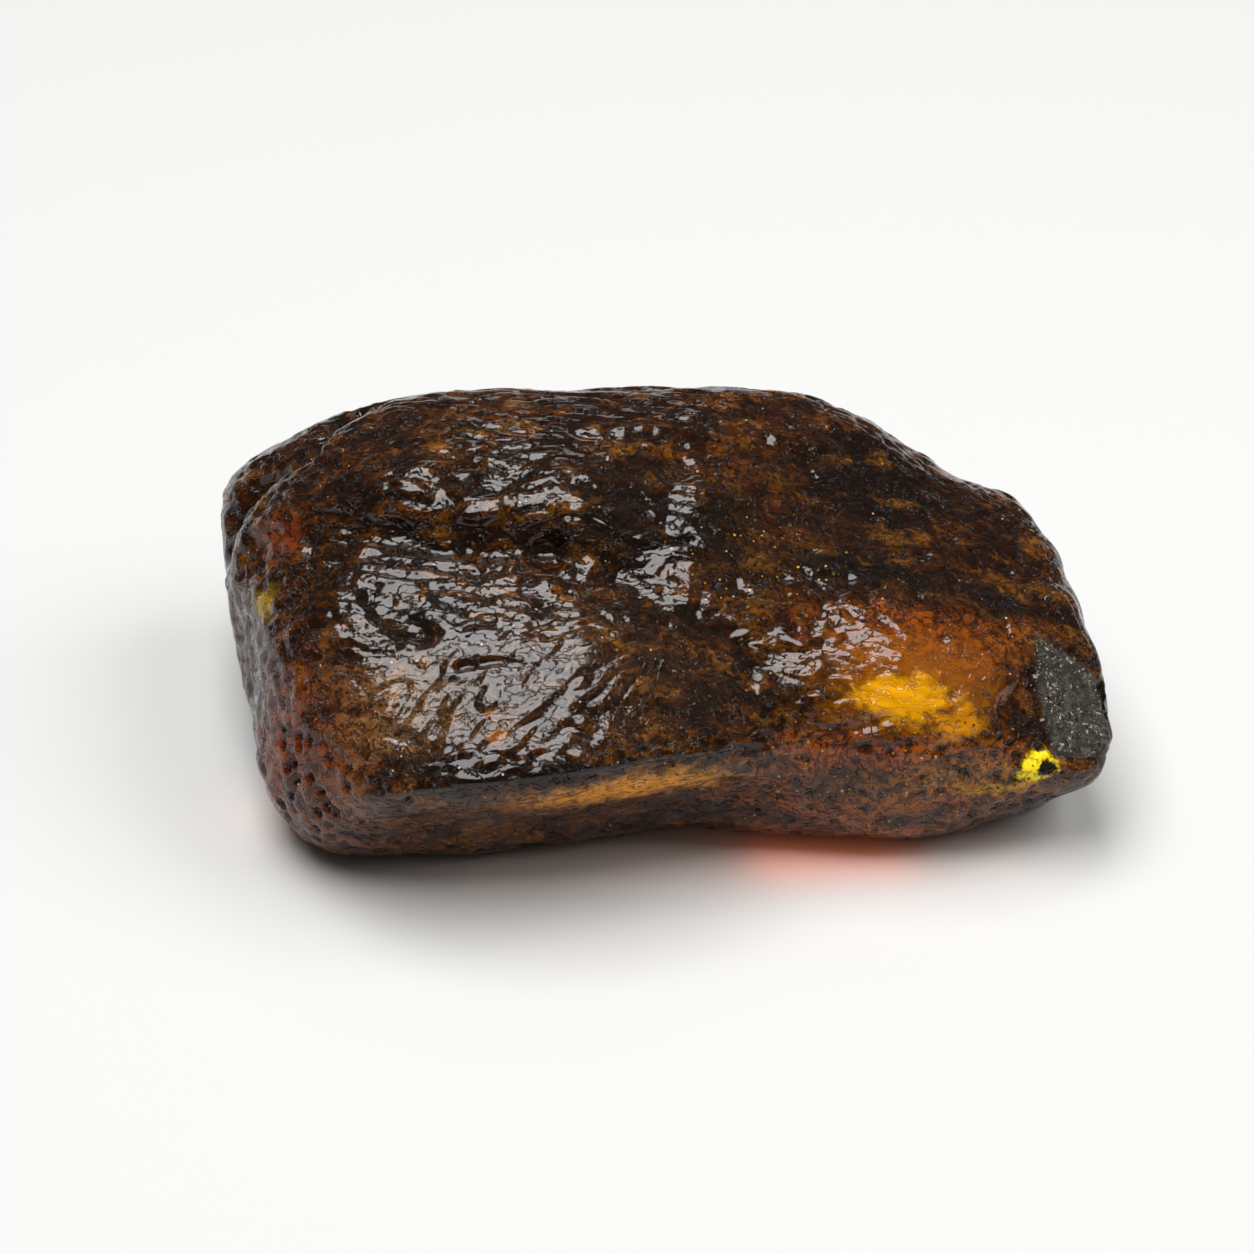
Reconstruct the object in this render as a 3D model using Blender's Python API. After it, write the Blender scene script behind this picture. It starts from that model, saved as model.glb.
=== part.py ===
"""A raw amber nugget: one solid lump of fossil resin, lying on a small flat on its underside.

The lump is lofted through cross-sections along its length, smoothed as a subdivision surface, given its
swells, furrows and broken facet, and cut flat where it rests. +X runs along its length, +Z is up, and the
origin is on the resting plane, under the middle of its bounding box.
"""

import bmesh
import bpy
from mathutils import Vector, noise

MM = 0.001

NAME = "amber_piece"
LENGTH_MM = 50.0  # along X, from end to end
REST_CUT_MM = 0.0  # height in the section drawing where the underside is cut flat

# Each section is drawn in its own plane, as (y, z) in mm: y runs to the back and z up. The twelve points
# go round the lump in this order, so that the same point of every section makes one line along it.
LINES = (
    "keel_front", "rim", "front_edge", "face_low", "face_high", "groove",
    "crest", "top", "shoulder", "back", "back_low", "keel_back",
)
SECTIONS_MM = {
    -23.3: [(1.5, 6.6), (-2.0, 7.6), (-3.4, 8.8), (-2.0, 10.0), (0.8, 10.8), (3.0, 11.2),
            (5.5, 11.6), (8.0, 11.2), (10.0, 10.0), (10.5, 8.6), (8.5, 7.2), (5.0, 6.4)],
    -20.8: [(-6.0, -0.4), (-11.4, 0.6), (-12.8, 4.8), (-11.0, 9.8), (-7.0, 13.2), (-3.0, 14.3),
            (1.0, 15.1), (6.0, 15.5), (10.4, 13.5), (12.6, 9.0), (10.5, 3.0), (4.0, -0.4)],
    -17.0: [(-8.0, -0.8), (-13.2, 0.2), (-16.8, 7.6), (-12.4, 12.1), (-7.4, 15.0), (-3.8, 16.0),
            (0.0, 17.6), (5.0, 18.2), (10.0, 16.2), (13.6, 10.2), (11.0, 3.0), (4.5, -0.8)],
    -11.0: [(-9.0, -0.8), (-12.9, 0.3), (-18.2, 9.9), (-12.8, 12.9), (-7.2, 15.1), (-4.3, 16.2),
            (-0.5, 18.8), (4.5, 19.5), (9.8, 17.8), (13.8, 11.0), (11.5, 3.5), (4.5, -0.8)],
    -5.0: [(-9.0, -0.8), (-12.1, 0.4), (-18.2, 10.4), (-12.8, 13.2), (-7.2, 15.3), (-4.5, 16.5),
           (-0.5, 18.6), (4.5, 19.2), (9.7, 17.5), (13.7, 11.3), (11.5, 3.5), (4.5, -0.8)],
    1.0: [(-8.0, -0.8), (-10.6, 1.4), (-16.6, 10.8), (-12.1, 13.0), (-7.5, 15.0), (-4.5, 16.2),
          (-0.5, 18.2), (4.5, 19.4), (9.8, 18.0), (13.5, 11.8), (11.0, 3.5), (4.5, -0.8)],
    7.0: [(-8.5, -0.8), (-12.0, 1.7), (-13.6, 9.1), (-10.8, 11.9), (-7.4, 14.0), (-4.2, 14.7),
          (0.0, 15.9), (4.5, 19.1), (9.3, 18.5), (13.0, 12.0), (10.5, 3.5), (4.0, -0.8)],
    13.0: [(-8.5, -0.8), (-13.0, 1.4), (-13.8, 7.2), (-11.9, 11.2), (-8.0, 13.8), (-4.2, 14.2),
           (0.0, 15.0), (4.5, 17.4), (9.2, 16.6), (12.8, 9.8), (10.0, 3.2), (4.0, -0.8)],
    18.0: [(-7.5, -0.6), (-11.8, 1.6), (-13.2, 6.2), (-12.2, 10.0), (-8.0, 12.4), (-4.0, 12.9),
           (0.0, 13.1), (4.0, 13.1), (8.0, 12.0), (10.8, 8.4), (9.0, 3.0), (3.0, -0.6)],
    22.3: [(-6.0, 0.2), (-9.3, 2.6), (-12.0, 5.1), (-11.5, 8.4), (-8.5, 10.8), (-5.0, 11.6),
           (-1.0, 12.6), (3.0, 13.7), (7.0, 12.5), (8.8, 7.4), (6.8, 2.8), (1.5, 0.1)],
    24.0: [(-7.0, 3.4), (-8.8, 3.8), (-10.4, 4.7), (-10.2, 6.2), (-8.6, 7.6), (-6.2, 8.3),
           (-3.6, 8.6), (-0.8, 8.6), (2.0, 8.0), (3.4, 6.4), (2.2, 4.4), (-2.4, 3.0)],
}
LEAN = 0.18  # how far the two end faces run to +X for each mm towards the front
LEAN_FROM_MM = 16.0  # the lean fades in between here and the ends
SMOOTHING_LEVELS = 2
EDGE_CREASE = 0.85  # keeps the front edge crisper than the rest
CREASED_SECTIONS = (-17.0, 7.0)  # where along X the front edge is crisp

# Swells and dents: where the centre is, how far it reaches, and how far it moves the surface outwards.
SWELLS_MM = {
    "front_bulge_left": ((-15.0, -9.4, 12.8), 6.5, 0.75),
    "front_bulge": ((-6.0, -11.4, 13.0), 7.5, 0.75),
    "front_bulge_right": ((-0.5, -11.2, 12.4), 6.0, 0.55),
    "back_left_lobe": ((-20.5, 7.5, 14.5), 5.5, -0.35),
    "low_left_lobe": ((-21.5, -11.0, 4.5), 5.0, 0.6),
    "left_dent": ((-23.0, -4.8, 8.4), 4.6, -0.8),
    "crest_swell": ((-12.0, -1.5, 17.8), 5.5, 0.3),
    "fold_shelf_left": ((-13.0, -2.4, 17.0), 5.0, 0.45),
    "fold_shelf": ((-4.0, -2.4, 17.2), 5.5, 0.9),
    "fold_shelf_right": ((4.0, -2.4, 16.4), 5.0, 0.8),
    "window_swell": ((13.5, -10.0, 11.6), 5.0, 0.3),
    "back_hollow_left": ((-9.5, 13.5, 8.5), 6.5, -0.6),
    "back_hollow_right": ((8.0, 12.8, 7.5), 5.5, -0.5),
    "low_back_swell": ((0.0, 12.5, 5.0), 5.0, 0.4),
}

# Furrows (height below zero) and ridges: the line each follows over the surface, its half width, its height.
FOLDS_MM = {
    "behind_left_ridge": (
        ((-16.0, 6.7, 16.8), (-18.4, 4.1, 15.6), (-21.6, 3.9, 13.6), (-23.1, 2.8, 10.4)),
        2.2,
        -0.9,
    ),
    "above_front_bulge": (
        ((-21.2, -1.0, 13.0), (-17.6, -2.8, 15.2), (-13.3, -4.0, 16.0), (-4.9, -5.6, 16.2)),
        1.5,
        -0.9,
    ),
    "right_of_front_bulge": (
        ((-4.9, -5.0, 16.0), (-0.5, -7.0, 14.6), (3.0, -8.6, 13.0), (6.0, -10.4, 12.0)),
        1.8,
        -0.6,
    ),
    "upper_fold": (
        ((-22.0, 1.0, 13.4), (-17.6, -0.8, 16.2), (-8.0, -3.0, 17.4), (3.0, -5.0, 16.0)),
        2.4,
        0.35,
    ),
    "below_front_edge": (
        ((-12.0, -14.8, 4.2), (-2.0, -14.2, 4.2), (6.0, -12.8, 4.6)),
        3.0,
        -0.5,
    ),
    "along_back": (
        ((-15.0, 12.4, 12.6), (-3.0, 12.8, 13.6), (10.0, 11.6, 13.0)),
        2.4,
        -0.4,
    ),
    "right_rim": (
        ((22.6, -3.6, 11.2), (23.8, -6.6, 9.6), (24.6, -9.6, 7.2)),
        1.8,
        0.45,
    ),
}

# Broken facet at the right end: a point on it, the way it faces, how far it reaches.
FACET_POINT_MM = (22.0, -9.6, 8.4)
FACET_NORMAL = (0.34, -0.66, 0.67)
FACET_REACH_MM = 4.4

LUMP_SIZE_MM = 4.5
LUMP_HEIGHT_MM = 0.22

AMBER_COLOUR = (0.16, 0.062, 0.013, 1.0)
AMBER_IOR = 1.54


def clear_scene():
    for obj in list(bpy.data.objects):
        bpy.data.objects.remove(obj)


def lofted_cage():
    """The sections as rings of points, joined by quads and closed by a face at each end."""
    cage = bmesh.new()
    rings = []
    for x, outline in SECTIONS_MM.items():
        lean = LEAN * min(1.0, max(0.0, abs(x) - LEAN_FROM_MM) / (LENGTH_MM / 2 - LEAN_FROM_MM))
        rings.append([cage.verts.new(Vector((x - lean * y, y, z)) * MM) for y, z in outline])
    count = len(LINES)
    crease = cage.edges.layers.float.new("crease_edge")
    for ring, following in zip(rings, rings[1:]):
        for i in range(count):
            j = (i + 1) % count
            cage.faces.new((ring[i], following[i], following[j], ring[j]))
    cage.faces.new(rings[0])
    cage.faces.new(list(reversed(rings[-1])))
    edge_line = LINES.index("front_edge")
    low, high = (x * MM - 1e-6 for x in CREASED_SECTIONS)
    for ring, following in zip(rings, rings[1:]):
        if low <= ring[edge_line].co.x < high:
            edge = cage.edges.get((ring[edge_line], following[edge_line]))
            edge[crease] = EDGE_CREASE
    bmesh.ops.recalc_face_normals(cage, faces=cage.faces)
    mesh = bpy.data.meshes.new(NAME)
    cage.to_mesh(mesh)
    cage.free()
    return mesh


def smoothed(obj):
    """The object's mesh after its Subdivision Surface, as a bmesh."""
    surface = obj.modifiers.new("smooth", "SUBSURF")
    surface.levels = SMOOTHING_LEVELS
    surface.render_levels = SMOOTHING_LEVELS
    bpy.context.view_layer.update()
    evaluated = obj.evaluated_get(bpy.context.evaluated_depsgraph_get())
    body = bmesh.new()
    body.from_mesh(evaluated.to_mesh())
    evaluated.to_mesh_clear()
    obj.modifiers.remove(surface)
    return body


def distance_to_line(at, line):
    nearest = []
    for start, end in zip(line, line[1:]):
        start = Vector(start)
        along = Vector(end) - start
        share = min(1.0, max(0.0, (at - start).dot(along) / along.length_squared))
        nearest.append((at - start - along * share).length)
    return min(nearest)


def push(body):
    """Moves each point along its normal: the swells and folds near it, and the small lumps of the skin."""
    body.normal_update()
    moves = []
    for vert in body.verts:
        at = vert.co / MM
        out = LUMP_HEIGHT_MM * noise.noise(at / LUMP_SIZE_MM)
        for centre, reach, height in SWELLS_MM.values():
            share = (at - Vector(centre)).length / reach
            if share < 1:
                out += height * (1 - share * share) ** 2
        for line, half_width, height in FOLDS_MM.values():
            share = distance_to_line(at, line) / half_width
            if share < 1:
                out += height * (1 - share * share) ** 2
        moves.append(vert.normal * out * MM)
    for vert, move in zip(body.verts, moves):
        vert.co += move


def break_facet(body):
    """Flattens what stands proud of the facet's plane, fading out towards the end of its reach."""
    point = Vector(FACET_POINT_MM) * MM
    normal = Vector(FACET_NORMAL).normalized()
    for vert in body.verts:
        proud = (vert.co - point).dot(normal)
        share = (vert.co - point).length / (FACET_REACH_MM * MM)
        if proud > 0 and share < 1:
            vert.co -= normal * proud * min(1.0, 3 * (1 - share))


def cut_rest_face(body):
    """Cuts the underside flat and closes the cut with one face."""
    everything = list(body.verts) + list(body.edges) + list(body.faces)
    cut = bmesh.ops.bisect_plane(
        body,
        geom=everything,
        plane_co=(0, 0, REST_CUT_MM * MM),
        plane_no=(0, 0, -1),
        clear_outer=True,
    )
    rim = [item for item in cut["geom_cut"] if isinstance(item, bmesh.types.BMEdge)]
    bmesh.ops.edgeloop_fill(body, edges=rim)


def centre_and_size(body):
    """Scales the lump to its length and puts the origin under the middle of its box."""
    low = Vector(min(v.co[i] for v in body.verts) for i in range(3))
    high = Vector(max(v.co[i] for v in body.verts) for i in range(3))
    scale = LENGTH_MM * MM / (high.x - low.x)
    origin = Vector(((low.x + high.x) / 2, (low.y + high.y) / 2, low.z))
    for vert in body.verts:
        vert.co = (vert.co - origin) * scale


def amber_material():
    material = bpy.data.materials.new("amber")
    material.use_nodes = True
    shader = material.node_tree.nodes["Principled BSDF"]
    shader.inputs["Base Color"].default_value = AMBER_COLOUR
    shader.inputs["Roughness"].default_value = 0.12
    shader.inputs["Metallic"].default_value = 0.0
    shader.inputs["IOR"].default_value = AMBER_IOR
    return material


def main():
    clear_scene()
    obj = bpy.data.objects.new(NAME, lofted_cage())
    bpy.context.scene.collection.objects.link(obj)
    body = smoothed(obj)
    push(body)
    break_facet(body)
    cut_rest_face(body)
    centre_and_size(body)
    bmesh.ops.triangulate(body, faces=body.faces)
    bmesh.ops.recalc_face_normals(body, faces=body.faces)
    body.to_mesh(obj.data)
    body.free()
    obj.data.shade_smooth()
    obj.data.materials.append(amber_material())


main()
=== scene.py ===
import math
import random

import bmesh
import bpy
import numpy as np
from mathutils import Matrix, Vector, noise
from mathutils.bvhtree import BVHTree


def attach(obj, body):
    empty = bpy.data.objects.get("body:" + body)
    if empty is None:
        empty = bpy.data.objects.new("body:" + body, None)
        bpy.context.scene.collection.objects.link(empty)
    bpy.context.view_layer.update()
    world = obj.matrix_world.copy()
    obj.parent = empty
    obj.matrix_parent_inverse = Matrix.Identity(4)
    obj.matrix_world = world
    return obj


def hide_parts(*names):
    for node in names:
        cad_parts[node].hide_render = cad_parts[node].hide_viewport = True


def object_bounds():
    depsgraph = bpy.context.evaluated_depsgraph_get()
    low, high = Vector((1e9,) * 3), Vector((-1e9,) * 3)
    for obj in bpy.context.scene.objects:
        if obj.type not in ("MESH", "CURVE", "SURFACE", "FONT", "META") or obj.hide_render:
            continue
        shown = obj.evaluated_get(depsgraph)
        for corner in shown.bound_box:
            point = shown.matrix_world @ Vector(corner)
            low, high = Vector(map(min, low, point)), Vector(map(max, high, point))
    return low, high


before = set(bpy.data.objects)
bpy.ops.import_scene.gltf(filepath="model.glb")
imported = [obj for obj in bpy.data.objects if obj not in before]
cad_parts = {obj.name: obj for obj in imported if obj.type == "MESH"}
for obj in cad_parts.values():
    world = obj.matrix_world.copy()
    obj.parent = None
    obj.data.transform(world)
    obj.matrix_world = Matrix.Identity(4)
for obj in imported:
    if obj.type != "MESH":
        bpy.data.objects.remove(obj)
cadBox = [list(corner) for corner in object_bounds()]
print("frame loaded")

mm = 0.001


def toLinear(hexColour):
    # sRGB hex to the linear values that shaders use
    parts = [int(hexColour[i : i + 2], 16) / 255 for i in (1, 3, 5)]
    return tuple(c / 12.92 if c <= 0.04045 else ((c + 0.055) / 1.055) ** 2.4 for c in parts) + (1.0,)


def addNode(tree, kind, settings=None, links=None):
    # one node, with its properties and unlinked inputs from settings, and its linked inputs from links
    node = tree.nodes.new("ShaderNode" + kind)
    for key, value in (settings or {}).items():
        if isinstance(key, str) and hasattr(node, key):
            setattr(node, key, value)
        else:
            node.inputs[key].default_value = value
    for key, socket in (links or {}).items():
        tree.links.new(socket, node.inputs[key])
    return node


def newMaterial(name):
    material = bpy.data.materials.new(name)
    material.use_nodes = True
    return material, material.node_tree, material.node_tree.nodes["Principled BSDF"]


def addPiece(name, mesh, material):
    piece = bpy.data.objects.new(name, mesh)
    bpy.context.scene.collection.objects.link(piece)
    mesh.materials.clear()
    mesh.materials.append(material)
    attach(piece, "root")
    return piece


def readPoints(mesh):
    points = np.empty(len(mesh.vertices) * 3, np.float32)
    mesh.vertices.foreach_get("co", points)
    return points.reshape(-1, 3).astype(float) / mm


def readNormals(mesh):
    normals = np.empty(len(mesh.vertices) * 3, np.float32)
    mesh.vertex_normals.foreach_get("vector", normals)
    return normals.reshape(-1, 3).astype(float)


def softStep(value):
    value = np.clip(value, 0, 1)
    return value * value * (3 - 2 * value)


def noiseAt(points):
    # Perlin noise, -1 to 1, at each row of points
    return np.array([noise.noise(Vector(row)) for row in points.tolist()])


def cellsAt(points):
    # distance to the nearest cell centre at each row of points
    return np.array([noise.voronoi(Vector(row))[0][0] for row in points.tolist()])


def patchMask(points, centre, reach):
    # 1 at the centre, 0 beyond the reach (one number, or one for each axis)
    share = np.linalg.norm((points - np.array(centre)) / np.array(reach), axis=1)
    return softStep(1 - share)


camera = {
    "distance": 0.2335,  # metres from the target
    "elevation": 35.0,  # degrees above the floor
    "target": (-0.00165, 0.0009, 0.0087),  # metres
    "lens": 120.0,  # mm, on a 36 mm sensor
}


def makeCamera():
    data = bpy.data.cameras.new("camera")
    data.lens = camera["lens"]
    data.sensor_width = 36.0
    tilt = math.radians(camera["elevation"])
    away = Vector((0, -math.cos(tilt), math.sin(tilt)))
    eye = bpy.data.objects.new("camera", data)
    bpy.context.scene.collection.objects.link(eye)
    eye.location = Vector(camera["target"]) + away * camera["distance"]
    eye.rotation_euler = (-away).to_track_quat("-Z", "Y").to_euler()
    bpy.context.scene.camera = eye


skin = {
    "grid": 0.235,  # mm between the points of the fine surface
    "smoothing": 6,  # passes over the fine surface
    "foldLine": (
        (-23.5, 1.5, 12.3),
        (-20.6, -0.4, 14.2),
        (-14.0, -2.6, 16.4),
        (-5.0, -3.4, 17.0),
        (1.5, -4.6, 15.8),
        (7.5, -5.6, 14.4),
        (15.0, -6.6, 13.2),
    ),
    # regions of the skin: centre and reach in mm
    "bulge": ((-7.0, -11.0, 13.0), (14.0, 5.0, 4.6)),  # glossy, smooth between its furrows
    "foldedBand": ((-9.0, -1.0, 17.0), (18.0, 5.6, 6.0)),
    "leftLobe": ((-21.0, -10.0, 5.5), (7.0, 7.0, 7.5)),  # deeply pitted
    "window": ((14.0, -7.8, 12.0), (6.5, 4.0, 3.5)),  # smooth and clean
    "rightEnd": (9.0, 17.0),  # fades in between these, along the lump
    # reliefs: size of a cell in mm (along the fold, across it, through it) and depth in mm
    "strandSize": (5.0, 0.9, 1.0),  # long wrinkles that run with the fold
    "strandDepth": 0.22,
    "leatherSize": (2.6, 0.65, 1.0),  # leathery cells between them
    "leatherDepth": 0.13,
    "wetSize": (1.1, 2.0, 2.0),  # slanting furrows of the glossy front
    "wetDepth": 0.1,
    "pitSize": 1.0,
    "pitDepth": 0.24,
    "lumpSize": 2.4,
    "lumpDepth": 0.2,
    "leftEndSize": 0.9,
    "leftEndDepth": 0.16,
    # furrows cut into the skin (a depth below zero raises a ridge): line, half width, depth
    "furrows": (
        # behind the left lobe
        (((-16.9, 10.7, 16.8), (-19.3, 6.0, 16.8), (-22.8, 7.6, 13.6), (-24.2, 7.2, 11.5)), 0.9, 0.5),
        # under the fold
        (
            (
                (-22.4, 1.1, 12.5),
                (-18.6, -1.3, 14.8),
                (-14.2, -2.7, 15.4),
                (-8.9, -3.6, 15.4),
                (-5.5, -4.0, 15.4),
                (-2.9, -5.2, 14.9),
                (0.2, -6.6, 14.0),
                (3.0, -8.4, 12.4),
            ),
            0.7,
            0.3,
        ),
        # a short one and a hollow on the glossy front
        (((-10.5, -10.0, 13.7), (-8.4, -9.8, 13.9), (-6.3, -10.2, 13.7), (-4.6, -9.9, 13.7)), 0.45, 0.28),
        (((-15.2, -5.6, 14.9), (-12.8, -7.8, 14.7)), 1.5, 0.4),
        # under the front edge
        (
            (
                (-15.5, -12.8, 8.6),
                (-9.9, -14.6, 9.5),
                (-5.2, -14.8, 9.6),
                (-0.4, -13.6, 9.4),
                (4.4, -12.1, 9.3),
                (8.9, -10.6, 9.7),
                (12.3, -9.8, 10.2),
            ),
            0.7,
            0.35,
        ),
        # ridge along the top
        (((-4.0, 5.2, 19.2), (1.0, 5.2, 19.1), (5.5, 5.6, 18.5), (9.5, 6.0, 17.4)), 1.1, -0.3),
        # rim of the broken facet
        (((20.6, -4.2, 11.8), (20.4, -6.4, 9.6), (21.3, -8.7, 7.0), (24.2, -8.0, 6.3)), 0.4, 0.2),
    ),
    "facetFaces": (0.34, -0.66, 0.67),  # the way the broken facet looks
    "facetCorners": (  # x and z, in mm
        (20.7, 11.6),
        (22.2, 10.7),
        (23.7, 9.6),
        (24.6, 7.1),
        (24.4, 6.5),
        (21.7, 6.9),
        (20.8, 9.6),
    ),
}


def alongLine(points, line):
    # for each point, how far along the line it lies and how far across from it
    line = np.array(line)
    best = np.full(len(points), np.inf)
    along = np.zeros(len(points))
    across = np.zeros(len(points))
    start = 0.0
    for a, b in zip(line, line[1:]):
        step = b - a
        length = np.linalg.norm(step)
        share = np.clip((points - a) @ step / length**2, 0, 1)
        gap = points - a - share[:, None] * step
        distance = np.linalg.norm(gap, axis=1)
        nearer = distance < best
        side = np.sign(gap[:, 1] * 0.8 + gap[:, 2] * 0.6)
        best = np.where(nearer, distance, best)
        along = np.where(nearer, start + share * length, along)
        across = np.where(nearer, side * distance, across)
        start += length
    return along, across


def creases(points, size):
    # valley lines where the noise crosses zero, 0 on the flats to 1 in the valley
    return 1 - np.clip(np.abs(noiseAt(points / np.array(size))) * 3.2, 0, 1)


def facetShare(points, normals):
    # 1 inside the corners of the broken facet at the right end, which stays flat
    facing = normals @ (np.array(skin["facetFaces"]) / np.linalg.norm(skin["facetFaces"]))
    inside = np.ones(len(points))
    corners = np.array(skin["facetCorners"])
    for a, b in zip(corners, np.roll(corners, -1, axis=0)):
        step = (b - a) / np.linalg.norm(b - a)
        inwards = (points[:, 0] - a[0]) * step[1] - (points[:, 2] - a[1]) * step[0]
        inside = np.minimum(inside, softStep(inwards / 0.25 + 1))  # fades over 0.25 mm outside the edge
    return inside * (facing > 0.6)


def skinHeight(points, normals):
    # for each point: how far it moves outwards, and how hollow, how much facet and how calm it is, 0 to 1
    along, across = alongLine(points, skin["foldLine"])
    warp = 0.9 * noiseAt(points / 4.0) + 0.35 * noiseAt(points / 1.6)
    flow = np.column_stack((along, across + warp, 0.25 * points[:, 2]))
    upper = softStep((normals[:, 2] - 0.2) / 0.5)
    lowFront = softStep((-normals[:, 1] - 0.3) / 0.4) * softStep((10.5 - points[:, 2]) / 2)
    leftEnd = softStep((-normals[:, 0] - 0.35) / 0.4)
    start, full = skin["rightEnd"]
    rightEnd = softStep((points[:, 0] - start) / (full - start))
    bulge = softStep(patchMask(points, *skin["bulge"]) * 2.2)
    folded = softStep(patchMask(points, *skin["foldedBand"]) * 2.2)
    leftLobe = patchMask(points, *skin["leftLobe"])
    window = softStep(patchMask(points, *skin["window"]) * 2)

    strands = creases(flow, skin["strandSize"]) * folded * (1 - 0.7 * bulge)
    leather = creases(flow + 31.0, skin["leatherSize"]) * (0.4 + 0.6 * upper) * (1 - 0.85 * bulge)
    slanted = np.column_stack(
        (points[:, 0] - 0.9 * points[:, 1], points[:, 1] + 0.45 * points[:, 0] + warp, points[:, 2])
    )
    wet = creases(slanted + 17.0, skin["wetSize"]) * bulge
    pits = np.clip(1 - cellsAt((points + 0.3 * warp[:, None]) / skin["pitSize"]) / 0.42, 0, 1)
    pits *= (0.4 + 1.6 * leftLobe + 0.35 * rightEnd + 1.1 * lowFront) * (1 - 0.8 * bulge)
    lumps = noiseAt(points / skin["lumpSize"]) * (0.5 + 0.9 * rightEnd) * (1 - 0.4 * bulge)

    height = -skin["strandDepth"] * strands - skin["leatherDepth"] * leather - skin["pitDepth"] * pits
    height += skin["lumpDepth"] * lumps - skin["wetDepth"] * wet
    height += skin["leftEndDepth"] * leftEnd * noiseAt(points / skin["leftEndSize"])
    hollow = np.clip(0.9 * strands + 0.8 * leather + 1.4 * pits + 0.9 * wet - 0.25, 0, 1)
    for line, halfWidth, depth in skin["furrows"]:
        _, away = alongLine(points, line)
        cut = softStep(1 - np.abs(away + 0.35 * warp) / halfWidth)
        height -= depth * cut
        hollow = np.maximum(hollow, cut) if depth > 0 else hollow
    facet = facetShare(points, normals)
    calm = np.maximum(0.75 * bulge, 0.6 * window)
    return height * (1 - facet), hollow * (1 - facet), facet, calm


def fineSurface():
    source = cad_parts["amber_piece"]
    rough = bpy.data.objects.new("rough", source.data.copy())
    bpy.context.scene.collection.objects.link(rough)
    remesh = rough.modifiers.new("remesh", "REMESH")
    remesh.mode = "VOXEL"
    remesh.voxel_size = skin["grid"] * mm
    smooth = rough.modifiers.new("smooth", "SMOOTH")
    smooth.iterations = skin["smoothing"]
    bpy.context.view_layer.update()
    evaluated = rough.evaluated_get(bpy.context.evaluated_depsgraph_get())
    mesh = bpy.data.meshes.new_from_object(evaluated)
    bpy.data.objects.remove(rough)
    mesh.name = "amberSkin"
    return mesh


def sculptSkin(mesh):
    points = readPoints(mesh)
    normals = readNormals(mesh)
    flatShare = softStep((points[:, 2] - 0.05) / 0.5)  # the resting flat stays flat
    height, hollow, facet, calm = skinHeight(points, normals)
    moved = points + normals * (height * flatShare)[:, None]
    low, high = (np.array(corner) / mm for corner in cadBox)
    moved = np.clip(moved, low, high)
    mesh.vertices.foreach_set("co", (moved * mm).astype(np.float32).ravel())
    for name, values in (("hollow", hollow), ("facet", facet), ("calm", calm)):
        mesh.attributes.new(name, "FLOAT", "POINT").data.foreach_set("value", values.astype(np.float32))
    mesh.update()
    mesh.shade_smooth()


amber = {
    "ior": 1.54,  # fossil resin, 1.539 to 1.545
    "specularLevel": 0.24,  # the crust is duller than clean amber
    "roughness": (0.1, 0.06),  # crusted, clean
    "absorbed": (0.91, 0.74, 0.05),  # what is left of each colour, with the density
    "absorbDensity": 1000.0,  # per metre
    "bumpDepth": 0.0001,  # metres
    "crustColours": ("#100804", "#482208", "#a46014"),  # char brown, oxidised brown, honey
    "blotchColour": "#1a0d06",
    "warmColour": "#b87414",
    "hollowColour": "#1a0c04",
    # pale dots: dust, partly painted glints of tiny bubbles
    "dustAndGlintColour": "#d8c8b0",
    # gold specks: golden grains, partly painted glints
    "goldAndGlintColour": "#f0b838",
    "goldAndGlintPlaces": (((5.6, -2.3, 15.4), (5.0, 3.0, 3.0)), ((14.0, -10.6, 6.0), (9.0, 3.0, 4.0))),
    "siltColour": "#403a32",
    "siltPaleColour": "#86827a",
    "siltGrainColour": "#c0b89c",
    # cells of each pattern in a millimetre
    "wanderScale": 0.55,  # the slow drift that bends the others, 2 mm
    "raggedScale": 1.3,  # torn edges of the stains, 0.8 mm
    "mottleScale": (0.45, 1.1, 1.1),  # 2 mm long, 1 mm across
    "blotchScale": (0.3, 0.65, 0.65),  # 3 mm long, 1.5 mm across
    "speckScale": 2.4,  # dirt and char, 0.4 mm
    "dotScale": 2.6,  # dust and gold specks, both partly painted glints, and pinprick pits: dots of 0.1 mm, as finer ones would not show
    "siltScale": 4.6,  # grains of 0.1 to 0.2 mm, coarser than real silt so that they show
    "wrinkleScale": (0.75, 1.7, 1.7),  # 1.3 mm long, 0.6 mm across
    "pitScale": 1.7,  # pits 0.6 mm apart, stretched with the wrinkles
}


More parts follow.
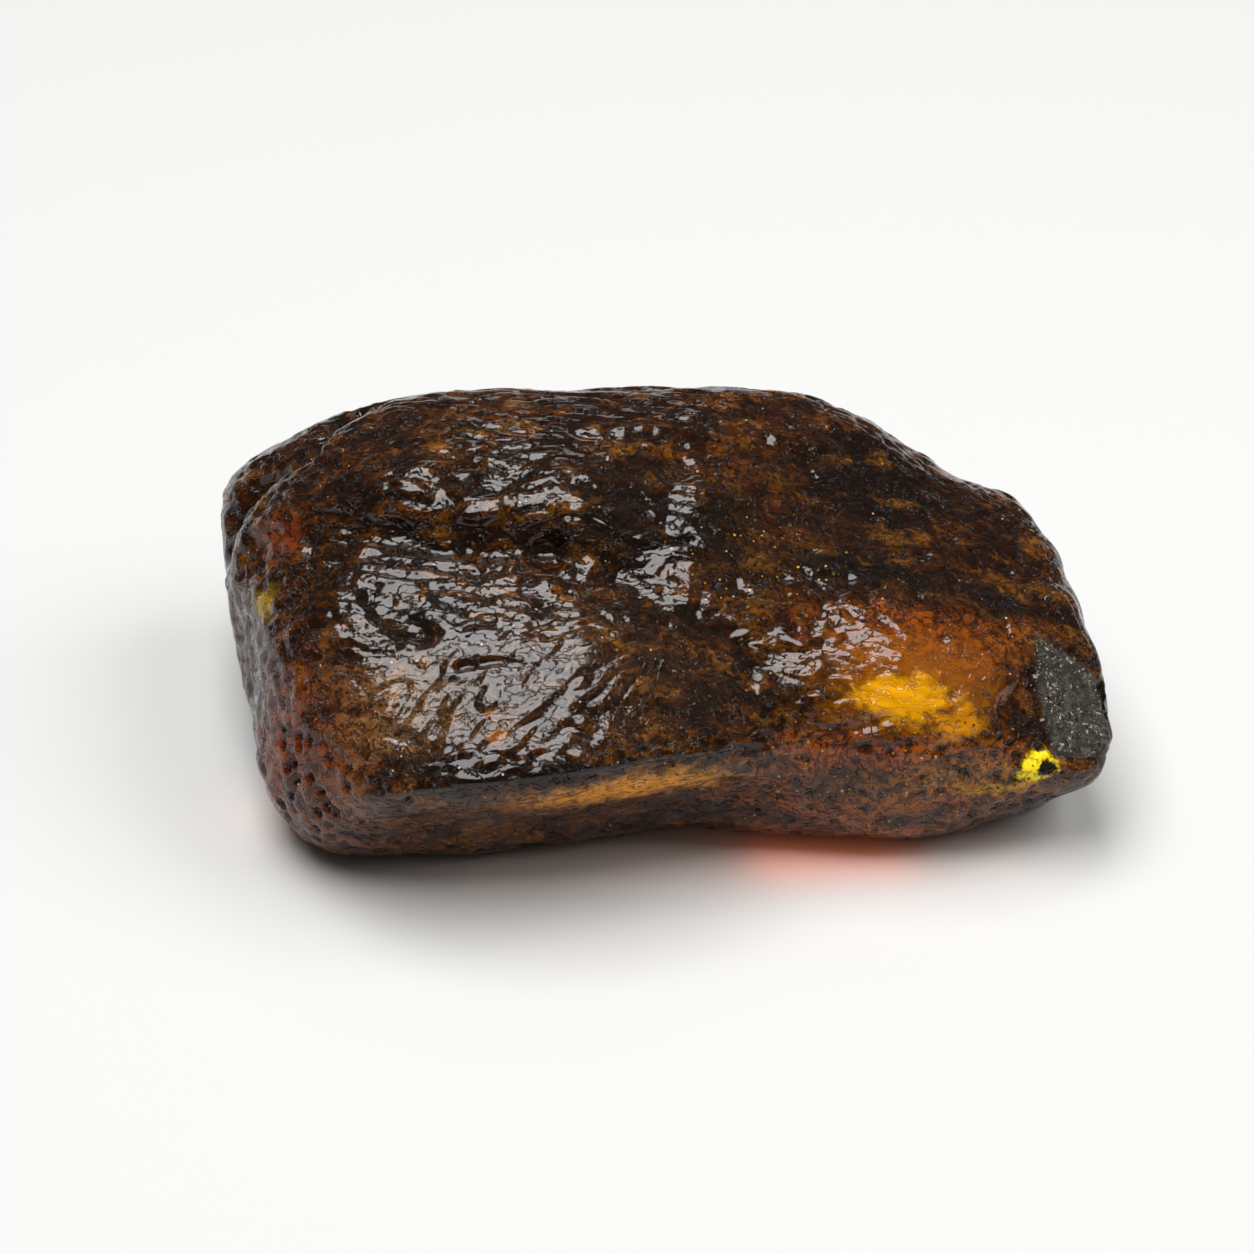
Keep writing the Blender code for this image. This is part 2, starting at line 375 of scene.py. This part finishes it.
# Stains of the skin: centre and reach in mm, edge softness, colour, how clear the resin is there, strength.
stains = {
    "orangeCrest": ((7.8, 1.5, 16.2), (8.0, 6.0, 4.0), 0.6, "#602e0a", 0.55, 0.65),
    "goldCrest": ((5.6, -2.3, 15.4), (4.0, 2.5, 2.0), 0.6, "#6e440c", 0.5, 0.6),
    "olivePaste": ((-15.8, -11.0, 11.4), (5.0, 3.2, 3.2), 0.6, "#a87c48", 0.4, 0.7),
    "redLobe": ((-19.6, -10.5, 6.6), (4.8, 4.8, 6.0), 0.8, "#983a00", 0.35, 0.85),
    "redHigh": ((-21.4, 1.2, 14.9), (2.2, 1.5, 1.6), 0.6, "#a84a18", 0.5, 0.7),
    "greyBulge": ((-6.0, -10.0, 13.6), (9.0, 4.0, 3.0), 0.6, "#563a24", 0.5, 0.6),
    "brownStrip": ((-8.0, -13.5, 4.8), (15.0, 4.0, 4.6), 0.3, "#80481c", 0.3, 0.75),
    "brownFace": ((14.0, -11.0, 5.8), (9.5, 3.5, 4.0), 0.3, "#ac5c1c", 0.3, 0.8),
    "goldStreak": ((15.5, -10.6, 6.6), (7.0, 2.0, 0.9), 0.8, "#c88420", 0.35, 0.6),
    "darkStreak": ((9.5, -11.5, 6.4), (3.6, 2.0, 1.3), 0.7, "#3a1c0e", 0.4, 0.75),
    "redFace": ((11.2, -10.4, 8.8), (3.6, 2.5, 1.3), 0.7, "#b4501c", 0.4, 0.7),
    "orangeWindow": ((15.0, -5.8, 12.8), (6.5, 3.4, 2.6), 0.6, "#a04e08", 0.5, 0.9),
    "blackBandHigh": ((12.5, 4.4, 16.2), (5.0, 4.2, 3.0), 0.45, "#0c0a08", 0.4, 0.95),
    "blackBandMiddle": ((11.4, -1.9, 14.2), (4.6, 1.7, 2.0), 0.45, "#0c0906", 0.4, 0.95),
    "blackBandRight": ((17.6, -2.4, 12.8), (3.6, 1.5, 1.8), 0.5, "#100b08", 0.4, 0.9),
    "blackFold": ((0.4, -0.8, 17.0), (6.0, 3.0, 2.6), 0.6, "#0c0a09", 0.5, 0.85),
    "blackBulge": ((-13.6, -6.4, 14.8), (3.0, 2.6, 1.8), 0.6, "#0f0e0d", 0.4, 0.9),
    # painted shade: a black band in the groove under the front edge, where shade falls
    "shadeUnderFrontEdge": ((-6.0, -15.0, 10.3), (10.0, 1.6, 0.8), 0.5, "#080706", 0.3, 0.95),
}


# Clean windows in the skin, over the stains and the dirt. Some of them are painted light: a painted glow on
# the strip under the front edge, painted glow in the yellow window, and painted glints in the crescent and
# its trail.
windows = {
    "amberHalo": ((14.0, -8.4, 11.4), (4.6, 2.6, 2.0), 0.7, "#b06404", 0.5, 0.75),
    # clean yellow resin with painted glow: the brightness stands in for light shining through from behind
    "yellowWindowGlow": ((13.2, -9.3, 11.0), (2.7, 1.6, 1.0), 0.35, "#f4ac00", 0.45, 1.0),
    "yellowLobeGlow": ((16.3, -9.9, 9.7), (1.3, 1.0, 0.8), 0.5, "#f09c0c", 0.45, 0.9),
    # painted glow: bright orange on the strip under the front edge, standing in for light that shines through
    # the resin
    "stripGlow": ((-1.6, -12.8, 7.6), (5.0, 2.2, 1.3), 0.8, "#ffa828", 0.15, 0.95),
    "oliveSpot": ((-21.6, -2.5, 12.5), (1.1, 0.9, 0.8), 0.7, "#c8a020", 0.4, 0.8),
    "blackRim": ((25.0, -5.2, 8.6), (1.1, 3.0, 3.2), 0.3, "#0c0a09", 0.3, 0.95),
    # painted glint: bright yellow standing in for light thrown back by the fissure inside; the dark hole
    # shapes its hook
    "crescentGlint": ((20.6, -9.5, 6.6), (1.15, 0.9, 0.8), 0.18, "#ffe020", 0.2, 1.0),
    "crescentGlintHole": ((21.1, -9.5, 6.4), (0.6, 0.9, 0.38), 0.18, "#1c1608", 0.4, 1.0),
    "glintTrail": ((18.6, -10.0, 5.6), (2.0, 1.0, 0.35), 0.7, "#e8a818", 0.2, 0.75),
    "orangeSpotLow": ((-8.5, -13.4, 11.8), (0.5, 0.3, 0.35), 0.5, "#a85c08", 0.4, 0.8),
    "orangeSpotHigh": ((-8.7, -12.4, 12.6), (0.6, 0.3, 0.35), 0.5, "#a06008", 0.4, 0.8),
}


def stainMask(tree, position, ragged, centre, reach, edge):
    # a soft-edged, ragged ellipsoid, 1 inside and 0 outside; centre and reach in mm
    offset = addNode(tree, "VectorMath", {"operation": "SUBTRACT", 1: centre}, {0: position})
    scaled = addNode(tree, "VectorMath", {"operation": "DIVIDE", 1: reach}, {0: offset.outputs[0]})
    length = addNode(tree, "VectorMath", {"operation": "LENGTH"}, {0: scaled.outputs[0]})
    reached = addNode(tree, "Math", {"operation": "ADD"}, {0: length.outputs["Value"], 1: ragged})
    return addNode(
        tree,
        "MapRange",
        {"interpolation_type": "SMOOTHSTEP", "From Min": 1 + edge, "From Max": 1 - edge},
        {"Value": reached.outputs[0]},
    ).outputs[0]


def layOver(tree, colour, layers):
    # lays colours over the first one, each with the share that shows where it lies
    for hexColour, share in layers:
        mix = addNode(tree, "Mix", {"data_type": "RGBA", 7: toLinear(hexColour)}, {0: share, 6: colour})
        colour = mix.outputs[2]
    return colour


def addStains(tree, position, ragged, patches, colour, clear):
    for centre, reach, edge, hexColour, clearness, strength in patches.values():
        mask = stainMask(tree, position, ragged, centre, reach, edge)
        share = addNode(tree, "Math", {"operation": "MULTIPLY", 1: strength}, {0: mask}).outputs[0]
        colour = layOver(tree, colour, [(hexColour, share)])
        clear = addNode(tree, "Mix", {"data_type": "FLOAT", 3: clearness}, {0: share, 2: clear}).outputs[0]
    return colour, clear


def skinPlaces(tree):
    # places in mm: true ones, slightly swayed ones and strongly warped ones; and the raggedness of edges
    coords = addNode(tree, "TexCoord").outputs["Object"]
    position = addNode(tree, "VectorMath", {"operation": "SCALE", "Scale": 1 / mm}, {0: coords}).outputs[0]
    wander = addNode(
        tree,
        "TexNoise",
        {"Scale": amber["wanderScale"], "Detail": 4.0, "Roughness": 0.6},
        {"Vector": position},
    )
    centred = addNode(
        tree, "VectorMath", {"operation": "SUBTRACT", 1: (0.5, 0.5, 0.5)}, {0: wander.outputs["Color"]}
    )
    moved = []
    for reach in (1.6, 3.2):  # mm between the ends of the sway, and of the warp
        push = addNode(tree, "VectorMath", {"operation": "SCALE", "Scale": reach}, {0: centred.outputs[0]})
        total = addNode(tree, "VectorMath", {"operation": "ADD"}, {0: position, 1: push.outputs[0]})
        moved.append(total.outputs[0])
    swayed, warped = moved
    torn = addNode(
        tree, "TexNoise", {"Scale": amber["raggedScale"], "Detail": 4.0, "Roughness": 0.6}, {"Vector": swayed}
    )
    ragged = addNode(
        tree,
        "MapRange",
        {"From Min": 0.3, "From Max": 0.7, "To Min": -0.35, "To Max": 0.35},
        {"Value": torn.outputs["Fac"]},
    ).outputs[0]
    return position, swayed, warped, ragged


def crust(tree, warped):
    # the mottled crust, from char brown to honey, and how clear the resin is under it
    streaks = addNode(tree, "Mapping", {"Scale": amber["mottleScale"]}, {"Vector": warped})
    mottle = addNode(
        tree, "TexNoise", {"Scale": 1.0, "Detail": 6.0, "Roughness": 0.72}, {"Vector": streaks.outputs[0]}
    ).outputs["Fac"]
    darkest, middle, lightest = (toLinear(c) for c in amber["crustColours"])
    ramp = addNode(tree, "ValToRGB", {}, {"Fac": mottle})
    ends = ramp.color_ramp.elements
    ends[0].position, ends[0].color = 0.4, darkest
    ends[1].position, ends[1].color = 0.66, lightest
    ends.new(0.52).color = middle
    clear = addNode(
        tree,
        "MapRange",
        {"From Min": 0.4, "From Max": 0.66, "To Min": 0.4, "To Max": 0.6},
        {"Value": mottle},
    ).outputs[0]
    return ramp.outputs["Color"], clear


def roundDots(tree, distance, chance, low, high, largest):
    # a dot in each cell whose chance is above low, growing to the largest (in cells) where it reaches high
    size = addNode(
        tree,
        "MapRange",
        {"From Min": low, "From Max": high, "To Min": 0.0, "To Max": largest},
        {"Value": chance},
    )
    return addNode(tree, "Math", {"operation": "LESS_THAN"}, {0: distance, 1: size.outputs[0]}).outputs[0]


def brokenFacet(tree, warped, specks, colour):
    # slate-grey silt, paler in places, with cream sand grains
    facet = addNode(tree, "Attribute", {"attribute_name": "facet"}).outputs["Fac"]
    silt = addNode(
        tree,
        "MapRange",
        {"From Min": 0.45, "From Max": 0.7, "To Min": 0.0, "To Max": 0.6},
        {"Value": specks},
    )
    pale = addNode(tree, "Math", {"operation": "MULTIPLY"}, {0: silt.outputs[0], 1: facet})
    grains = addNode(tree, "TexVoronoi", {"Scale": amber["siltScale"]}, {"Vector": warped})
    chance = addNode(tree, "SeparateColor", {}, {0: grains.outputs["Color"]})
    grain = roundDots(tree, grains.outputs["Distance"], chance.outputs[0], 0.62, 1.0, 0.55)
    shown = addNode(tree, "Math", {"operation": "MULTIPLY"}, {0: grain, 1: facet})
    return layOver(
        tree,
        colour,
        [
            (amber["siltColour"], facet),
            (amber["siltPaleColour"], pale.outputs[0]),
            (amber["siltGrainColour"], shown.outputs[0]),
        ],
    )


def fineRelief(tree, swayed, calm):
    # fine wrinkles that run along the lump, and pinprick pits: flat between, so the gloss holds
    drawn = addNode(tree, "Mapping", {"Scale": amber["wrinkleScale"]}, {"Vector": swayed}).outputs[0]
    wrinkles = addNode(tree, "TexNoise", {"Scale": 1.0, "Detail": 1.5, "Roughness": 0.5}, {"Vector": drawn})
    fromMiddle = addNode(tree, "Math", {"operation": "SUBTRACT", 1: 0.5}, {0: wrinkles.outputs["Fac"]})
    apart = addNode(tree, "Math", {"operation": "ABSOLUTE"}, {0: fromMiddle.outputs[0]})
    valleys = addNode(
        tree,
        "MapRange",
        {"interpolation_type": "SMOOTHSTEP", "From Min": 0.0, "From Max": 0.035},
        {"Value": apart.outputs[0]},
    )
    cells = addNode(tree, "TexVoronoi", {"Scale": amber["pitScale"]}, {"Vector": drawn})
    pits = addNode(
        tree,
        "MapRange",
        {"interpolation_type": "SMOOTHSTEP", "From Min": 0.05, "From Max": 0.26},
        {"Value": cells.outputs["Distance"]},
    )
    carved = addNode(
        tree, "Math", {"operation": "MULTIPLY_ADD", 1: 0.8}, {0: pits.outputs[0], 2: valleys.outputs[0]}
    )
    level = 1.8  # height between wrinkles and pits, where the skin is calm
    return addNode(tree, "Mix", {"data_type": "FLOAT", 3: level}, {0: calm, 2: carved.outputs[0]}).outputs[0]


def amberMaterial():
    # Weathered raw amber: clear, dark honey resin under a thin stained crust. Seen as near-black brown where
    # it is thick, orange to yellow where it is thin or clean, with a wet gloss broken by pits and wrinkles.
    material, tree, shader = newMaterial("rawAmberWeathered")
    position, swayed, warped, ragged = skinPlaces(tree)
    colour, clear = crust(tree, warped)
    colour, clear = addStains(tree, warped, ragged, stains, colour, clear)

    # broad dark blotches, and warmer ones between
    broad = addNode(tree, "Mapping", {"Scale": amber["blotchScale"]}, {"Vector": warped})
    blotches = addNode(
        tree, "TexNoise", {"Scale": 1.0, "Detail": 5.0, "Roughness": 0.65}, {"Vector": broad.outputs[0]}
    ).outputs["Fac"]
    dark = addNode(
        tree,
        "MapRange",
        {"From Min": 0.4, "From Max": 0.5, "To Min": 0.75, "To Max": 0.0},
        {"Value": blotches},
    )
    warm = addNode(
        tree,
        "MapRange",
        {"From Min": 0.55, "From Max": 0.68, "To Min": 0.0, "To Max": 0.45},
        {"Value": blotches},
    )

    # dirt and char in specks, and the colour made darker in the hollows of the skin
    specks = addNode(
        tree,
        "TexNoise",
        {"Scale": amber["speckScale"], "Detail": 3.0, "Roughness": 0.6},
        {"Vector": warped},
    ).outputs["Fac"]
    dirt = addNode(
        tree,
        "MapRange",
        {"From Min": 0.42, "From Max": 0.52, "To Min": 0.8, "To Max": 0.0},
        {"Value": specks},
    )
    hollow = addNode(tree, "Attribute", {"attribute_name": "hollow"}).outputs["Fac"]
    deep = addNode(tree, "Math", {"operation": "MULTIPLY", 1: 0.85}, {0: hollow})
    colour = layOver(
        tree,
        colour,
        [
            (amber["blotchColour"], dark.outputs[0]),
            (amber["warmColour"], warm.outputs[0]),
            (amber["hollowColour"], dirt.outputs[0]),
            (amber["hollowColour"], deep.outputs[0]),
        ],
    )
    colour, clear = addStains(tree, swayed, ragged, windows, colour, clear)

    # dots of three kinds, each with its own chance in a cell: gold specks and dust, both partly painted
    # glints, and pinprick pits
    cells = addNode(tree, "TexVoronoi", {"Scale": amber["dotScale"]}, {"Vector": position})
    chances = addNode(tree, "SeparateColor", {}, {0: cells.outputs["Color"]}).outputs
    distance = cells.outputs["Distance"]
    goldAndGlint = roundDots(tree, distance, chances[0], 0.35, 1.0, 0.24)
    dustAndGlint = roundDots(tree, distance, chances[1], 0.9, 0.97, 0.16)
    pinprick = roundDots(tree, distance, chances[2], 0.4, 1.0, 0.34)
    here, there = (stainMask(tree, warped, ragged, *goldAndGlintPlace, 0.6) for goldAndGlintPlace in amber["goldAndGlintPlaces"])
    goldAndGlintPlaced = addNode(tree, "Math", {"operation": "MAXIMUM"}, {0: here, 1: there})
    goldAndGlintShare = addNode(tree, "Math", {"operation": "MULTIPLY"}, {0: goldAndGlint, 1: goldAndGlintPlaced.outputs[0]})
    colour = layOver(tree, colour, [(amber["goldAndGlintColour"], goldAndGlintShare.outputs[0])])
    colour = brokenFacet(tree, warped, specks, colour)

    calm = addNode(tree, "Attribute", {"attribute_name": "calm"}).outputs["Fac"]
    relief = fineRelief(tree, swayed, calm)
    bump = addNode(tree, "Bump", {"Strength": 1.0, "Distance": amber["bumpDepth"]}, {"Height": relief})

    # the colour made darker in the fine wrinkles, most of all where the blotches are dark
    vein = addNode(
        tree,
        "MapRange",
        {"From Min": 0.4, "From Max": 1.6, "To Min": 1.0, "To Max": 0.0},
        {"Value": relief},
    )
    filled = addNode(
        tree,
        "MapRange",
        {"From Min": 0.4, "From Max": 0.6, "To Min": 0.75, "To Max": 0.1},
        {"Value": blotches},
    )
    veinShare = addNode(tree, "Math", {"operation": "MULTIPLY"}, {0: vein.outputs[0], 1: filled.outputs[0]})
    rougher = addNode(
        tree,
        "MapRange",
        {"From Min": 0.0, "From Max": 0.5, "To Min": 0.8, "To Max": 0.0},
        {"Value": calm},
    )
    pinShare = addNode(tree, "Math", {"operation": "MULTIPLY"}, {0: pinprick, 1: rougher.outputs[0]})
    # the pale dots are dust and partly painted glints
    colour = layOver(
        tree,
        colour,
        [
            (amber["hollowColour"], veinShare.outputs[0]),
            (amber["dustAndGlintColour"], dustAndGlint),
            (amber["hollowColour"], pinShare.outputs[0]),
        ],
    )

    crusted, clean = amber["roughness"]
    rough = addNode(
        tree,
        "MapRange",
        {"From Min": 0.4, "From Max": 1.0, "To Min": crusted, "To Max": clean},
        {"Value": clear},
    )
    tree.links.new(colour, shader.inputs["Base Color"])
    tree.links.new(clear, shader.inputs["Transmission Weight"])
    tree.links.new(rough.outputs[0], shader.inputs["Roughness"])
    tree.links.new(bump.outputs[0], shader.inputs["Normal"])
    shader.inputs["IOR"].default_value = amber["ior"]
    shader.inputs["Specular IOR Level"].default_value = amber["specularLevel"]
    absorb = addNode(
        tree, "VolumeAbsorption", {"Color": amber["absorbed"] + (1.0,), "Density": amber["absorbDensity"]}
    )
    tree.links.new(absorb.outputs[0], tree.nodes["Material Output"].inputs["Volume"])
    return material


# What is sealed in the resin: colour, roughness and metallic of each finish.
finishes = {
    "cloudyAmberYellow": ("#ffd83a", 0.5, 0.0),  # bastard amber, milky with tiny bubbles: a soft yellow glow
    "cloudyAmberOrange": ("#f09030", 0.5, 0.0),  # the same, deeper in the honey resin
    "cloudyAmberRed": ("#d85a20", 0.5, 0.0),  # the same, reddened by weathering
    "charredWoodDust": ("#1a100a", 0.8, 0.0),  # forest litter caught in the flow: dull, nearly black
    "stressFissure": ("#ffe14a", 0.3, 1.0),  # a crack with air in it, which throws light back like a mirror
}
clouding = 0.9  # cells of the cloudy pattern in a millimetre


def sealedMaterial(name):
    hexColour, roughness, metallic = finishes[name]
    material, tree, shader = newMaterial(name)
    coords = addNode(tree, "TexCoord").outputs["Object"]
    position = addNode(tree, "VectorMath", {"operation": "SCALE", "Scale": 1 / mm}, {0: coords})
    cloud = addNode(
        tree,
        "TexNoise",
        {"Scale": clouding, "Detail": 5.0, "Roughness": 0.6},
        {"Vector": position.outputs[0]},
    )
    share = addNode(
        tree,
        "MapRange",
        {"From Min": 0.35, "From Max": 0.7, "To Min": 0.0, "To Max": 0.6},
        {"Value": cloud.outputs["Fac"]},
    )
    base = toLinear(hexColour)
    deep = tuple(c * 0.35 for c in base[:3]) + (1.0,)
    colour = addNode(tree, "Mix", {"data_type": "RGBA", 6: base, 7: deep}, {0: share.outputs[0]})
    tree.links.new(colour.outputs[2], shader.inputs["Base Color"])
    shader.inputs["Roughness"].default_value = roughness
    shader.inputs["Metallic"].default_value = metallic
    return material


def surfaceFinder(mesh):
    return BVHTree.FromPolygons([v.co / mm for v in mesh.vertices], [p.vertices[:] for p in mesh.polygons])


# Flows and fissures under the skin, in mm: centre, reach along and across, depth, thickness; then the turn in
# degrees, the seed of the outline and the finish.
flows = {
    "yellowFlow": ((12.9, -9.4, 11.1), (3.6, 1.7), 0.4, 0.8, -12, 3.0, "cloudyAmberYellow"),
    "orangeFlow": ((15.2, -6.0, 12.8), (5.2, 2.4), 1.2, 1.2, -8, 8.0, "cloudyAmberOrange"),
    "redFlowLow": ((-18.8, -10.6, 8.5), (3.0, 3.4), 0.8, 1.0, 20, 12.0, "cloudyAmberRed"),
    "redFlowHigh": ((-21.5, 1.0, 14.7), (2.0, 1.1), 0.6, 0.8, 30, 15.0, "cloudyAmberRed"),
    "glowFlow": ((-1.0, -12.6, 7.6), (3.4, 0.9), 0.5, 0.8, 0, 19.0, "cloudyAmberOrange"),
    "sunSpangle": ((20.7, -9.6, 6.6), (1.0, 0.5), 0.35, 0.15, 35, 27.0, "stressFissure"),
}
flowRings = 16
flowSpokes = 72


def sealedFlow(name):
    # a lens with a lobed outline, which lies just under the skin and follows it
    centre, reach, depth, thickness, turn, seed, finish = flows[name]
    spot, normal, _, _ = finder.find_nearest(Vector(centre))
    side = Vector((1, 0, 0)).cross(normal).normalized()
    forward = normal.cross(side)
    swing = Matrix.Rotation(math.radians(turn), 3, normal)
    forward, side = swing @ forward, swing @ side
    body = bmesh.new()

    def place(r, angle, face):
        lobes = 1 + 0.42 * noise.noise(Vector((2.1 * math.cos(angle), 2.1 * math.sin(angle), seed)))
        ahead = reach[0] * r * lobes * math.cos(angle)
        aside = reach[1] * r * lobes * math.sin(angle)
        flat = spot + forward * ahead + side * aside
        onSkin, skinNormal, _, _ = finder.find_nearest(flat)
        half = 0.5 * thickness * math.sqrt(max(0.0, 1 - r * r)) * face
        ripple = 0.12 * thickness * noise.noise(flat * 1.3)
        return body.verts.new((onSkin - skinNormal * (depth + 0.5 * thickness - half + ripple)) * mm)

    steps = [i / flowRings for i in range(1, flowRings + 1)]
    angles = [2 * math.pi * j / flowSpokes for j in range(flowSpokes)]
    rim = [place(1.0, a, 0) for a in angles]
    for face in (1, -1):
        hub = place(0.0, 0.0, face)
        inner = None
        for r in steps:
            ring = rim if r == 1.0 else [place(r, a, face) for a in angles]
            for j in range(flowSpokes):
                k = (j + 1) % flowSpokes
                if inner is None:
                    body.faces.new((hub, ring[j], ring[k]))
                else:
                    body.faces.new((inner[j], ring[j], ring[k], inner[k]))
            inner = ring
    bmesh.ops.recalc_face_normals(body, faces=body.faces)
    mesh = bpy.data.meshes.new(name)
    body.to_mesh(mesh)
    body.free()
    mesh.shade_smooth()
    return addPiece(name, mesh, sealed[finish])


# Chips and glints under the skin: seed, finish, flatness and clouds. Each cloud is its centre, reach, count,
# smallest and largest chip, nearest and farthest depth, in mm.
grains = {
    "woodDust": (
        5,
        "charredWoodDust",
        0.6,
        (
            ((0.0, -2.0, 16.0), (14.0, 6.0, 4.0), 260, 0.15, 0.7, 0.4, 2.5),
            ((14.0, -1.0, 14.0), (8.0, 6.0, 3.0), 160, 0.15, 0.6, 0.4, 2.0),
            ((14.0, -10.5, 6.5), (8.0, 3.0, 3.0), 140, 0.15, 0.6, 0.4, 2.0),
            ((-12.0, -12.0, 10.0), (10.0, 4.0, 4.0), 160, 0.15, 0.6, 0.4, 2.0),
        ),
    ),
    "goldFlecks": (
        6,
        "stressFissure",
        0.25,
        (
            ((5.8, -2.4, 15.4), (4.0, 2.5, 2.0), 110, 0.08, 0.22, 0.1, 0.5),
            ((13.0, -10.5, 6.5), (8.0, 2.0, 3.0), 120, 0.08, 0.22, 0.1, 0.5),
            ((18.6, -10.0, 5.6), (3.0, 1.0, 1.0), 50, 0.08, 0.25, 0.1, 0.4),
        ),
    ),
}


def sealedGrains(name):
    seed, finish, flat, clouds = grains[name]
    rng = random.Random(seed)
    body = bmesh.new()
    for centre, reach, count, small, large, near, far in clouds:
        for _ in range(count):
            guess = Vector(c + r * rng.gauss(0, 0.45) for c, r in zip(centre, reach))
            onSkin, skinNormal, _, _ = finder.find_nearest(guess)
            size = small + (large - small) * rng.random() ** 2
            at = onSkin - skinNormal * (near + (far - near) * rng.random() + size)
            turn = Vector((rng.gauss(0, 1), rng.gauss(0, 1), rng.gauss(0, 1))).normalized()
            spin = Matrix.Rotation(rng.uniform(0, math.pi), 4, turn)
            stretch = Matrix.Diagonal((size * mm, size * mm * rng.uniform(0.5, 1), size * mm * flat, 1))
            shape = Matrix.Translation(at * mm) @ spin @ stretch
            made = bmesh.ops.create_icosphere(body, subdivisions=1, radius=0.5, matrix=shape)
            for vert in made["verts"]:
                shift = Vector((rng.uniform(-1, 1), rng.uniform(-1, 1), rng.uniform(-1, 1)))
                vert.co += shift * size * 0.1 * mm
    mesh = bpy.data.meshes.new(name)
    body.to_mesh(mesh)
    body.free()
    return addPiece(name, mesh, sealed[finish])


studio = {
    "floorColour": "#c0c0bf",
    "floorSize": 3.0,  # metres
    # place and size in metres, power in watts, colour
    "softboxes": {
        "keySoftbox": ((-0.08, -0.005, 0.43), (0.44, 0.25), 2.9, "#ffffff"),
        "sheenSoftbox": ((-0.08, -0.005, 0.43), (0.44, 0.25), 0.95, "#ffdcd0"),  # the key again, gloss only
        "backSoftbox": ((0.0, 0.28, 0.38), (0.5, 0.2), 0.05, "#ffffff"),
        "fillSoftbox": ((0.3, -0.03, 0.36), (0.35, 0.3), 1.6, "#ffffff"),  # shows in no reflection
        "glintStrip": ((-0.02, 0.34, 0.34), (0.16, 0.05), 0.07, "#ffffff"),
    },
    "sky": 0.08,  # strength of the plain white light from all round
    # what the amber lets through on to the paper: place and size in mm, power in watts, colour
    "glows": (
        ((9.6, -9.2, 1.5), (9.0, 2.6), 0.00009, "#ff7028"),
        ((9.6, -10.9, 3.0), (11.0, 2.4), 0.00004, "#ffa070"),
        ((-2.0, -9.6, 2.8), (14.0, 4.0), 0.00006, "#ffc8a8"),
        ((17.0, -8.6, 2.8), (8.0, 4.0), 0.0001, "#ffdcc4"),
        ((-13.0, -10.4, 3.0), (10.0, 4.0), 0.00006, "#ffe4d0"),
        ((-21.8, -5.0, 2.5), (4.0, 4.0), 0.00003, "#ffa060"),
    ),
}


def addLight(name, place, size, power, hexColour):
    data = bpy.data.lights.new(name, "AREA")
    data.shape = "RECTANGLE"
    data.size, data.size_y = size
    data.energy = power
    data.color = toLinear(hexColour)[:3]
    lamp = bpy.data.objects.new(name, data)
    bpy.context.scene.collection.objects.link(lamp)
    lamp.location = place
    return lamp


def makeFloor():
    # matte card: a soft pale ground with no gloss to mirror the lump
    half = studio["floorSize"] / 2
    mesh = bpy.data.meshes.new("studioFloor")
    corners = [(-half, -half, 0), (half, -half, 0), (half, half, 0), (-half, half, 0)]
    mesh.from_pydata(corners, [], [(0, 1, 2, 3)])
    material, _, shader = newMaterial("mattePaper")
    shader.inputs["Base Color"].default_value = toLinear(studio["floorColour"])
    shader.inputs["Roughness"].default_value = 0.9
    shader.inputs["Specular IOR Level"].default_value = 0.2
    mesh.materials.append(material)
    floor = bpy.data.objects.new("studioFloor", mesh)
    floor.location.z = -0.00005  # just clear of the resting flat
    bpy.context.scene.collection.objects.link(floor)


def makeStudio():
    makeFloor()
    middle = Vector((0, 0, 0.008))  # what the softboxes point at
    lamps = {}
    for name, (place, size, power, hexColour) in studio["softboxes"].items():
        lamps[name] = addLight(name, place, size, power, hexColour)
        lamps[name].rotation_euler = (middle - Vector(place)).to_track_quat("-Z", "Y").to_euler()
    lamps["sheenSoftbox"].visible_diffuse = False
    lamps["fillSoftbox"].visible_glossy = False
    for place, size, power, hexColour in studio["glows"]:
        glow = addLight("amberGlow", [v * mm for v in place], [v * mm for v in size], power, hexColour)
        glow.visible_camera = glow.visible_glossy = glow.visible_transmission = False
    world = bpy.data.worlds.new("studioSky")
    world.use_nodes = True
    sky = world.node_tree.nodes["Background"]
    sky.inputs["Color"].default_value = (1, 1, 1, 1)
    sky.inputs["Strength"].default_value = studio["sky"]
    bpy.context.scene.world = world
    bpy.context.scene.view_settings.view_transform = "Standard"


makeCamera()
makeStudio()
print("camera and studio ready")

skinMesh = fineSurface()
finder = surfaceFinder(skinMesh)
print("fine surface:", len(skinMesh.polygons), "faces")
sculptSkin(skinMesh)
lump = addPiece("amberSkin", skinMesh, amberMaterial())
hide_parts("amber_piece")
print("skin sculpted")

sealed = {name: sealedMaterial(name) for name in finishes}
for name in ("yellowFlow", "orangeFlow", "redFlowLow", "redFlowHigh", "glowFlow"):
    sealedFlow(name)
for name in grains:
    sealedGrains(name)
sealedFlow("sunSpangle")
print("inclusions sealed in")
